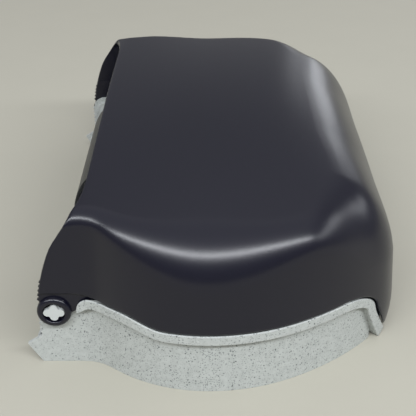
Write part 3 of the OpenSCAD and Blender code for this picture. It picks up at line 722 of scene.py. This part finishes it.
def speckled_plastic(colours):
    """Light grey ABS with mineral flecks, moulded satin: even and pale, with small darker specks of
    two sizes that lie in the surface."""
    material, shader, shade, place = moulded(
        "Flecked ABS, Satin Moulded", colours.light_grey, 0.45, 1.54, 0.9, 0.02, mottle=0.16, drift_mm=5
    )
    colour_now = shade.outputs[2]
    # Specks about 1.3 mm and 0.8 mm across, scattered through the plastic
    for spacing_mm, radius_share, share, strength in ((2.6, 0.25, 0.8, 1.0), (1.3, 0.3, 0.9, 1.0)):
        cells = add_node(
            material,
            "ShaderNodeTexVoronoi",
            {"Scale": 1 / (spacing_mm * MM), "Randomness": 1.0},
            {"Vector": place.outputs["Object"]},
        )
        dot = add_node(
            material,
            "ShaderNodeMapRange",
            {"From Min": radius_share * 0.6, "From Max": radius_share * 1.3, "To Min": 1.0, "To Max": 0.0},
            {"Value": cells.outputs["Distance"]},
        )
        chance = add_node(material, "ShaderNodeSeparateColor", links={0: cells.outputs["Color"]})
        chosen = add_math(material, "LESS_THAN", {1: share}, {0: chance.outputs[0]})
        depth = add_math(material, "MULTIPLY", None, {0: chance.outputs[1], 1: chosen.outputs[0]})
        dark = add_math(material, "MULTIPLY", None, {0: dot.outputs[0], 1: depth.outputs[0]})
        amount = add_math(material, "MULTIPLY", {1: strength}, {0: dark.outputs[0]})
        mixed = add_node(
            material,
            "ShaderNodeMix",
            {7: linear(colours.speck)},
            {0: amount.outputs[0], 6: colour_now},
            data_type="RGBA",
        )
        colour_now = mixed.outputs[2]
    material.node_tree.links.new(colour_now, shader.inputs["Base Color"])
    return material


def plain_plastic(name, base, roughness):
    """A plain moulded plastic for the small parts."""
    return moulded(name, base, roughness, 1.5, 0.8, 0.015)[0]


def plated_metal(name, base, roughness, grain_mm):
    """A plated metal: bright, with the fine uneven gloss that plating leaves."""
    material = new_material(name)
    place = add_node(material, "ShaderNodeTexCoord")
    grain = add_node(
        material,
        "ShaderNodeTexNoise",
        {"Scale": 1 / (grain_mm * MM), "Detail": 4.0},
        {"Vector": place.outputs["Object"]},
    )
    gloss = add_node(
        material,
        "ShaderNodeMapRange",
        {"To Min": roughness * 0.7, "To Max": roughness * 1.3},
        {"Value": grain.outputs[0]},
    )
    bump = add_node(
        material, "ShaderNodeBump", {"Strength": 0.3, "Distance": 0.01 * MM}, {"Height": grain.outputs[0]}
    )
    shader = add_node(
        material,
        "ShaderNodeBsdfPrincipled",
        {"Base Color": linear(base), "Metallic": 1.0},
        {"Roughness": gloss.outputs[0], "Normal": bump.outputs[0]},
    )
    return finish_material(material, shader)


def painted_floor(colours):
    """Emulsion paint on a board: matt, even, with a hardly visible drift of tone."""
    return moulded("Matt Emulsion", colours.floor, 0.85, 1.5, 4, 0.02, mottle=0.015)[0]


def material_for(scene, key):
    """The named finish, made once."""
    colours = scene.dispenser_colours
    makers = {
        "smoke": ("Smoke ABS, Satin Moulded", lambda name: smoke_plastic(colours)),
        "flecked": ("Flecked ABS, Satin Moulded", lambda name: speckled_plastic(colours)),
        "pin": ("White Acetal, Moulded", lambda name: plain_plastic(name, colours.pin, 0.35)),
        "graphite": ("Graphite ABS, Moulded", lambda name: plain_plastic(name, colours.graphite, 0.42)),
        "grey": ("Grey Polypropylene, Moulded", lambda name: plain_plastic(name, colours.grey, 0.5)),
        "black": ("Black ABS, Moulded", lambda name: plain_plastic(name, colours.black, 0.4)),
        "zinc_cast": ("Zinc Alloy, Satin Chrome", lambda name: plated_metal(name, "#B9BBBF", 0.28, 0.8)),
        "zinc_plate": ("Steel, Zinc Plated", lambda name: plated_metal(name, "#C2C4C8", 0.36, 1.5)),
        "floor": ("Matt Emulsion", lambda name: painted_floor(colours)),
    }
    name, make = makers[key]
    return bpy.data.materials.get(name) or make(name)


# ---- Operators: one for each piece or group of like pieces ----


class DISPENSER_OT_cover(bpy.types.Operator):
    """Cover skin with its rolled edges"""

    bl_idname = "dispenser.cover"
    bl_label = "Cover"

    def execute(self, context):
        form = Form(context.scene)
        plan = form.plan
        walls = [("wall", f) for f in spread(0, 1, 1 / 9)]
        edges = [("edge", f) for f in spread(0, 1, 1 / 16)[1:]]
        faces = [("face", f) for f in (0.04, 0.1, 0.18, 0.28, 0.4, 0.52, 0.64, 0.76, 0.88, 1)]
        half = walls + edges + faces
        columns = [(zone, f, -1) for zone, f in half] + [(zone, f, 1) for zone, f in reversed(half[:-1])]
        roll = form.cover.wall / 2
        trim_s = plan.reach(form.casing.neck_end_x + 14)
        neck_shares = (0, 0.03, 0.07, 0.12, 0.18, 0.25, 0.34, 0.45, 0.56, 0.67, 0.78, 0.89)
        neck_rows = [(trim_s, u) for u in neck_shares]
        rows = neck_rows + [(s, 1) for s in spread(trim_s, plan.length, 3.5)]

        def surface(row, t):
            points = []
            for zone, f, side in columns:
                p = form.skin(row[0], row[1], zone, f, t)
                points.append(Vector((p.x, side * p.y, p.z)))
            return points

        def ring(row):
            """Round one cross line: out over the outer face, round the far edge and back inside."""
            outer, inner = surface(row, 0), surface(row, form.cover.wall)
            rolls = []
            for end, beside in ((-1, -2), (0, 1)):
                down = (outer[end] - outer[beside]).normalized()
                outer[end] -= down * roll
                inner[end] -= down * roll
                middle = (outer[end] + inner[end]) / 2
                spoke = (outer[end] - inner[end]) / 2
                steps = (45, 90, 135) if end == -1 else (135, 90, 45)
                rolls.append([
                    middle + spoke * math.cos(math.radians(a)) + down * roll * math.sin(math.radians(a))
                    for a in steps
                ])
            return outer + rolls[0] + inner[::-1] + rolls[1]

        rings = [ring(row) for row in rows]
        n, k = len(rings[0]), len(columns)
        partners = [(k - 1 + 3 + k - i) % n for i in range(n)]
        first, second = rings[0], rings[1]
        ways = [(a - b).normalized() for a, b in zip(first, second)]
        start = [p - way * roll for p, way in zip(first, ways)]
        ends = []
        for turn in (90, 60, 30):
            cosine, sine = math.cos(math.radians(turn)), math.sin(math.radians(turn))
            ends.append([
                (start[i] + start[partners[i]]) / 2
                + (start[i] - start[partners[i]]) / 2 * cosine
                + (ways[i] + ways[partners[i]]) / 2 * roll * sine
                for i in range(n)
            ])
        rings = ends + [start] + rings[1:]
        points, faces_made = loft(rings, close_ends=False)
        cover = new_object("cover_skin", points, faces_made, 50)
        dress(cover, material_for(context.scene, "smoke"), "cover", ["cover_shell"])
        return {"FINISHED"}


class DISPENSER_OT_cover_hinges(bpy.types.Operator):
    """Hinge arms with their tear teeth, and hinge bosses"""

    bl_idname = "dispenser.cover_hinges"
    bl_label = "Cover Hinges"

    def execute(self, context):
        form = Form(context.scene)
        hinge, x, z = form.hinge, form.hinge_x, form.hinge_z
        inside = form.casing.neck_half_width + hinge.arm_gap
        outside, floor = inside + 7, inside + hinge.arm_thickness
        smoke = material_for(context.scene, "smoke")
        tooth_z = z + 9.5
        top_z = tooth_z + 5 * hinge.tooth_pitch + 4
        low_z = form.lip.neck_height - 2.5
        arm_end = form.casing.neck_end_x + 30
        far = form.casing.depth
        tooth_xs = [form.end_x(tooth_z + i * hinge.tooth_pitch, far) + 0.6 for i in range(5)]
        arm = [(x + 4, z), (x - hinge.boss_radius + 2, z + 2)]
        arm += teeth(tooth_xs, tooth_z, hinge)
        arm += [(form.end_x(top_z, far) + 0.8, top_z), (arm_end, top_z), (arm_end, low_z)]
        tip_x = form.curl_x + 2.4
        arm += [(tip_x + 6, low_z), (tip_x + 3, low_z - 0.6), (tip_x + 0.4, low_z - 2.5), (tip_x, low_z - 6)]
        arm += [(tip_x - 1.8, z + 0.6), (x + hinge.boss_radius, z - 1.6), (x + hinge.boss_radius - 3, z - 3)]
        edge, recess = 3.2, hinge.recess_radius
        ring = [(6.05, inside), (hinge.boss_radius, inside)]
        ring += arc((hinge.boss_radius - edge, outside - edge), edge, 0, 90, 8)
        ring += arc((recess + 1.2, outside - 1.2), 1.2, 90, 180, 4)
        ring += [(recess, floor), (6.05, floor)]
        for name, side in SIDES.items():
            piece = plate(f"hinge_arm_{name}", arm, inside, floor, FlatPath, side, 0.4)
            dress(piece, smoke, "cover")
            boss = lathe(f"hinge_boss_{name}", ring, outwards(form, side))
            dress(boss, smoke, "cover")
        return {"FINISHED"}


class DISPENSER_OT_lock_pad(bpy.types.Operator):
    """Round pad of the cover that the lock sits on"""

    bl_idname = "dispenser.lock_pad"
    bl_label = "Lock Pad"

    def execute(self, context):
        form = Form(context.scene)
        lock_z = LOCK[2] / MM
        wall_x = form.casing.top_x + form.cover_out(lock_z)
        matrix = Matrix.Translation((0, 0, lock_z)) @ Matrix.Rotation(math.pi / 2, 4, "Y")
        back, edge, front = wall_x - 6, wall_x + 0.5, wall_x + 0.9
        profile = [(8.5, back), (12, back), (12, edge), (11.6, front), (8.5, front)]
        pad = lathe("lock_pad", profile, matrix)
        dress(pad, material_for(context.scene, "smoke"), "cover")
        return {"FINISHED"}


class DISPENSER_OT_base_sides(bpy.types.Operator):
    """Side walls with the beak, the tear teeth and the ear of the hinge"""

    bl_idname = "dispenser.base_sides"
    bl_label = "Base Sides"

    def execute(self, context):
        form = Form(context.scene)
        plan, hinge, wall = form.plan, form.hinge, form.casing.base_wall
        start, x, z = form.start_x, form.hinge_x, form.hinge_z
        bend = 8
        end_s = plan.reach(form.wall_end_x)
        path = WallPath(plan, end_s, bend)
        last_s = end_s + bend * math.pi / 2 + 2
        beak_in = (x - 13.6, form.chin_z + 8)
        outline = [(form.chin_foot_x, 0), (x - 26.2, form.chin_z), beak_in]
        outline += teeth([x - 13] * 7, beak_in[1] + 3, hinge)
        outline += arc((x, z), hinge.boss_radius, 150, 40, 14)
        outline = [(p[0] - start, p[1]) for p in outline]
        top = [(s, form.lip_top(plan.at(s)[0]) - 7) for s in spread(plan.neck_end, end_s, 3)]
        outline += [*top, (last_s, top[-1][1]), (last_s, 0)]
        flecked = material_for(context.scene, "flecked")
        for name, side in SIDES.items():
            piece = plate(f"base_side_{name}", outline, -wall, 0, Outline(path), side, 0.35, 2, step=4)
            dress(piece, flecked, "base", ["base_shell"])
        return {"FINISHED"}


class DISPENSER_OT_lips(bpy.types.Operator):
    """Rounded lips along the tops of the side walls, down to their legs"""

    bl_idname = "dispenser.lips"
    bl_label = "Lips"

    def execute(self, context):
        form = Form(context.scene)
        plan, bend = form.plan, form.leg_bend
        start_s, bend_s, foot_s = (plan.reach(x) for x in (form.curl_x, bend[0], form.leg_foot_x - 0.8))
        crest_s = plan.reach(form.crest[0])
        tops = spread(start_s, crest_s, 1.5) + spread(crest_s + 3, bend_s, 4)
        tops += spread(bend_s + 2, foot_s, 2)
        top = [(s, form.lip_top(plan.at(s)[0])) for s in tops]
        inner_foot_s = plan.reach(form.leg_foot_x - form.leg_width)
        unders = spread(start_s, bend_s, 3) + spread(bend_s + 2, inner_foot_s, 2)
        under = [(s, form.lip_bottom(plan.at(s)[0])) for s in unders]
        outline = under + top[::-1]
        web = [(s, z + 0.8) for s, z in under if s > start_s + 3]
        for s, z in reversed(top):
            if s > start_s + 3:
                in_leg = smooth((s - bend_s + 8) / 16)
                web.append((s - 3.2 * in_leg, z - 5 * (1 - in_leg)))
        flecked = material_for(context.scene, "flecked")
        for name, side in SIDES.items():
            strip = plate(f"lip_{name}", outline, 4, form.lip.out, Outline(plan), side, 0.95, 3, step=4)
            dress(strip, flecked, "base")
            low = -form.casing.base_wall / 2
            inner = plate(f"lip_web_{name}", web, low, 4.2, Outline(plan), side, 0.3, 1, step=4)
            dress(inner, flecked, "base")
        return {"FINISHED"}


class DISPENSER_OT_base_back(bpy.types.Operator):
    """Back plate with its ribs, pads, rim, chin, shutter guide and pin bosses"""

    bl_idname = "dispenser.base_back"
    bl_label = "Base Back"

    def execute(self, context):
        form = Form(context.scene)
        casing, plan = form.casing, form.plan
        flecked = material_for(context.scene, "flecked")
        inset = casing.base_wall / 2
        half = [plan.out(s, -inset, -1) for s in spread(0, plan.length, 5)]
        outline = half + [(x, -y) for x, y in reversed(half)][1:]
        posts = [(SPINDLE[0] / MM, side * SPINDLE[1] / MM) for side in (-1, 1)]
        screws = [
            (
                x + SPINDLE_SCREW_CIRCLE * math.cos(math.radians(a)),
                y + SPINDLE_SCREW_CIRCLE * math.sin(math.radians(a)),
            )
            for x, y in posts
            for a in (30, 150, 270)
        ]
        lift = casing.plate_lift
        holes = [circle(p, FIXING_RADIUS, 24) for p in FIXING_PLACES]
        holes += [circle(p, SPINDLE_SCREW_RADIUS, 16) for p in screws]
        pieces = [plate("back_plate", outline, lift, form.plate_top, TopPath, holes=holes, round_mm=0)]
        for number, (x, y) in enumerate(FIXING_PLACES, 1):
            ring = [(FIXING_RADIUS, 0), (10, 0), (10, lift + 0.4), (FIXING_RADIUS, lift + 0.4)]
            pieces.append(lathe(f"fixing_pad_{number}", ring, Matrix.Translation((x, y, 0)), 32))
        low_x, high_x = form.start_x + 1, casing.top_x - 1
        for number, y in enumerate((-posts[1][1], 0, posts[1][1]), 1):
            outline = [(low_x, 0.5), (high_x, 0.5), (high_x, lift + 0.5), (low_x, lift + 0.5)]
            pieces.append(plate(f"back_rib_{number}", outline, y - 1, y + 1, FlatPath, round_mm=0))
        stations = spread(plan.reach(form.leg_foot_x + 1.5), plan.length, 4)
        outside = [plan.out(s, 0, -1) for s in stations]
        inside = [plan.out(s, -casing.base_wall, -1) for s in stations]
        outline = outside + [(x, -y) for x, y in reversed(outside)][1:]
        outline += [(x, -y) for x, y in inside] + inside[::-1][1:]
        pieces.append(plate("top_rim", outline, 0, TOP_RIM_HEIGHT, TopPath, round_mm=0.6))
        pieces.append(new_object("chin", *loft(self.chin_rings(form))))
        for name, side in SIDES.items():
            inner = casing.neck_half_width - casing.base_wall - 4
            ring = [(6, inner), (8.6, inner), (9, inner + 0.4), (9, inner + 4.4), (6, inner + 4.4)]
            pieces.append(lathe(f"pin_boss_{name}", ring, outwards(form, side), 48))
        pieces += self.guide(form)
        for piece in pieces:
            dress(piece, flecked, "base")
        return {"FINISHED"}

    @staticmethod
    def chin_rings(form):
        """Cross sections of the chin, which leans out towards the middle of each half."""
        half, thickness, rings = form.casing.neck_half_width - 0.4, 3, []
        for i in range(-24, 25):
            y = math.copysign(half * abs(i / 24) ** 0.8, i)
            x = form.chin_foot_x - 0.1 - 5.8 * max(0.0, (abs(y) - 100) / (half - 100))
            top = arc((x + thickness / 2, form.chin_z - thickness / 2), thickness / 2, 180, 0, 6)
            section = [(form.chin_foot_x, 0), *top, (form.chin_foot_x + thickness, 0)]
            rings.append([(px, y, pz) for px, pz in section])
        return rings

    @staticmethod
    def guide(form):
        """Rail that the shutter slides in, with a stop at each end."""
        shutter_x = form.chin_foot_x + 3.4
        back, inner, over = form.plate_top, shutter_x + 6.4, shutter_x + 2.9
        low, thick, half = form.plate_top + 2.8, 2.5, 158.4
        rail = [
            (inner, back - 0.4), (inner + thick, back - 0.4), (inner + thick, low + thick),
            (over, low + thick), (over, low), (inner, low),
        ]
        stop = [
            (shutter_x, back - 0.4), (inner + thick, back - 0.4),
            (inner + thick, low + thick), (shutter_x, low + thick),
        ]
        pieces = [plate("shutter_rail", rail, -half, half, FlatPath, round_mm=0.3)]
        for name, side in SIDES.items():
            pieces.append(plate(f"shutter_stop_{name}", stop, half, half + thick, FlatPath, side, 0.3))
        return pieces


class DISPENSER_OT_stage(bpy.types.Operator):
    """Floor, lights, world and camera"""

    bl_idname = "dispenser.stage"
    bl_label = "Stage"

    def execute(self, context):
        scene = context.scene
        scene.view_settings.view_transform = "Standard"
        points = [(-4000, -4000, 0), (4000, -4000, 0), (4000, 4000, 0), (-4000, 4000, 0)]
        floor = new_object("floor", points, [(0, 1, 2, 3)])
        floor.data.materials.append(material_for(scene, "floor"))
        # Key: a long strip above the near side. Side: beyond the top end. Window and its wider glow:
        # low and far behind, for the highlight along the top end.
        lamps = (
            ("key_light", (0.15, -2.2, 2.45), (0, 0, 0.08), (7.4, 0.34), 175),
            ("side_light", (2.7, 0.1, 1.2), (0.1, 0, 0.12), (2.4, 0.5), 11),
            ("window_light", (1.2, 2.8, 0.65), (0.1, 0, 0.14), (0.6, 0.9), 2.5),
            ("window_glow", (1.3, 2.9, 0.8), (0.1, 0, 0.14), (1.7, 1.2), 4),
        )
        for name, place, target, size, power in lamps:
            data = bpy.data.lights.new(name, "AREA")
            data.shape = "RECTANGLE"
            data.size, data.size_y = size
            data.energy = power
            data.color = (0.93, 0.96, 1.0)
            lamp = bpy.data.objects.new(name, data)
            lamp.location = place
            lamp.rotation_euler = (Vector(target) - Vector(place)).to_track_quat("-Z", "Y").to_euler()
            scene.collection.objects.link(lamp)
        world = bpy.data.worlds.new("Pale Room")
        world.use_nodes = True
        background = world.node_tree.nodes["Background"]
        place = add_node(world, "ShaderNodeTexCoord")
        height = add_node(world, "ShaderNodeSeparateXYZ", links={0: place.outputs["Generated"]})
        ceiling = add_node(
            world, "ShaderNodeMapRange", {"From Min": 0.45, "From Max": 0.9, "To Min": 0.3, "To Max": 0.85},
            {"Value": height.outputs["Z"]}, interpolation_type="SMOOTHSTEP",
        )
        world.node_tree.links.new(ceiling.outputs[0], background.inputs["Strength"])
        background.inputs["Color"].default_value = (0.86, 0.87, 0.9, 1)
        scene.world = world
        data = bpy.data.cameras.new("camera")
        data.lens = 74.485
        data.sensor_width = 36
        camera = bpy.data.objects.new("camera", data)
        camera.location = (-0.00197, -0.76063, 0.47833)
        camera.rotation_euler = [math.radians(a) for a in (59.552, 0.4214, 0.0172)]
        scene.collection.objects.link(camera)
        scene.camera = camera
        return {"FINISHED"}


class DISPENSER_OT_small_parts(bpy.types.Operator):
    """Finishes of the pieces that keep their own meshes"""

    bl_idname = "dispenser.small_parts"
    bl_label = "Small Parts"

    def execute(self, context):
        slots = {part["node"]: part["material_slot"] for part in FRAME["record"]["subparts"]}
        finishes = {
            "base_plastic": "flecked",
            "pin_plastic": "pin",
            "cover_plastic": "smoke",
            "hub_plastic": "graphite",
            "adaptor_plastic": "grey",
            "shutter_plastic": "black",
            "lock_metal": "zinc_cast",
            "steel": "zinc_plate",
        }
        for name, node in FRAME["nodes"].items():
            node.data.materials.clear()
            node.data.materials.append(material_for(context.scene, finishes[slots[name]]))
            node.data.shade_smooth()
            node.data.set_sharp_from_angle(angle=math.radians(32))
        return {"FINISHED"}


class DISPENSER_PT_panel(bpy.types.Panel):
    """Buttons that build the dispenser"""

    bl_label = "Dispenser"
    bl_idname = "DISPENSER_PT_panel"
    bl_space_type = "VIEW_3D"
    bl_region_type = "UI"
    bl_category = "Dispenser"

    def draw(self, context):
        for operator in OPERATORS:
            self.layout.operator(operator.bl_idname)


OPERATORS = (
    DISPENSER_OT_small_parts,
    DISPENSER_OT_cover,
    DISPENSER_OT_cover_hinges,
    DISPENSER_OT_lock_pad,
    DISPENSER_OT_base_sides,
    DISPENSER_OT_lips,
    DISPENSER_OT_base_back,
    DISPENSER_OT_stage,
)
CLASSES = (*PROPERTY_GROUPS.values(), *OPERATORS, DISPENSER_PT_panel)


def register():
    for cls in CLASSES:
        bpy.utils.register_class(cls)
    for name, group in PROPERTY_GROUPS.items():
        setattr(bpy.types.Scene, name, PointerProperty(type=group))


def unregister():
    for name in PROPERTY_GROUPS:
        delattr(bpy.types.Scene, name)
    for cls in reversed(CLASSES):
        bpy.utils.unregister_class(cls)


def main():
    register()
    bpy.ops.dispenser.small_parts()
    bpy.ops.dispenser.cover()
    bpy.ops.dispenser.cover_hinges()
    bpy.ops.dispenser.lock_pad()
    bpy.ops.dispenser.base_sides()
    bpy.ops.dispenser.lips()
    bpy.ops.dispenser.base_back()
    bpy.ops.dispenser.stage()


if __name__ == "__main__":
    main()
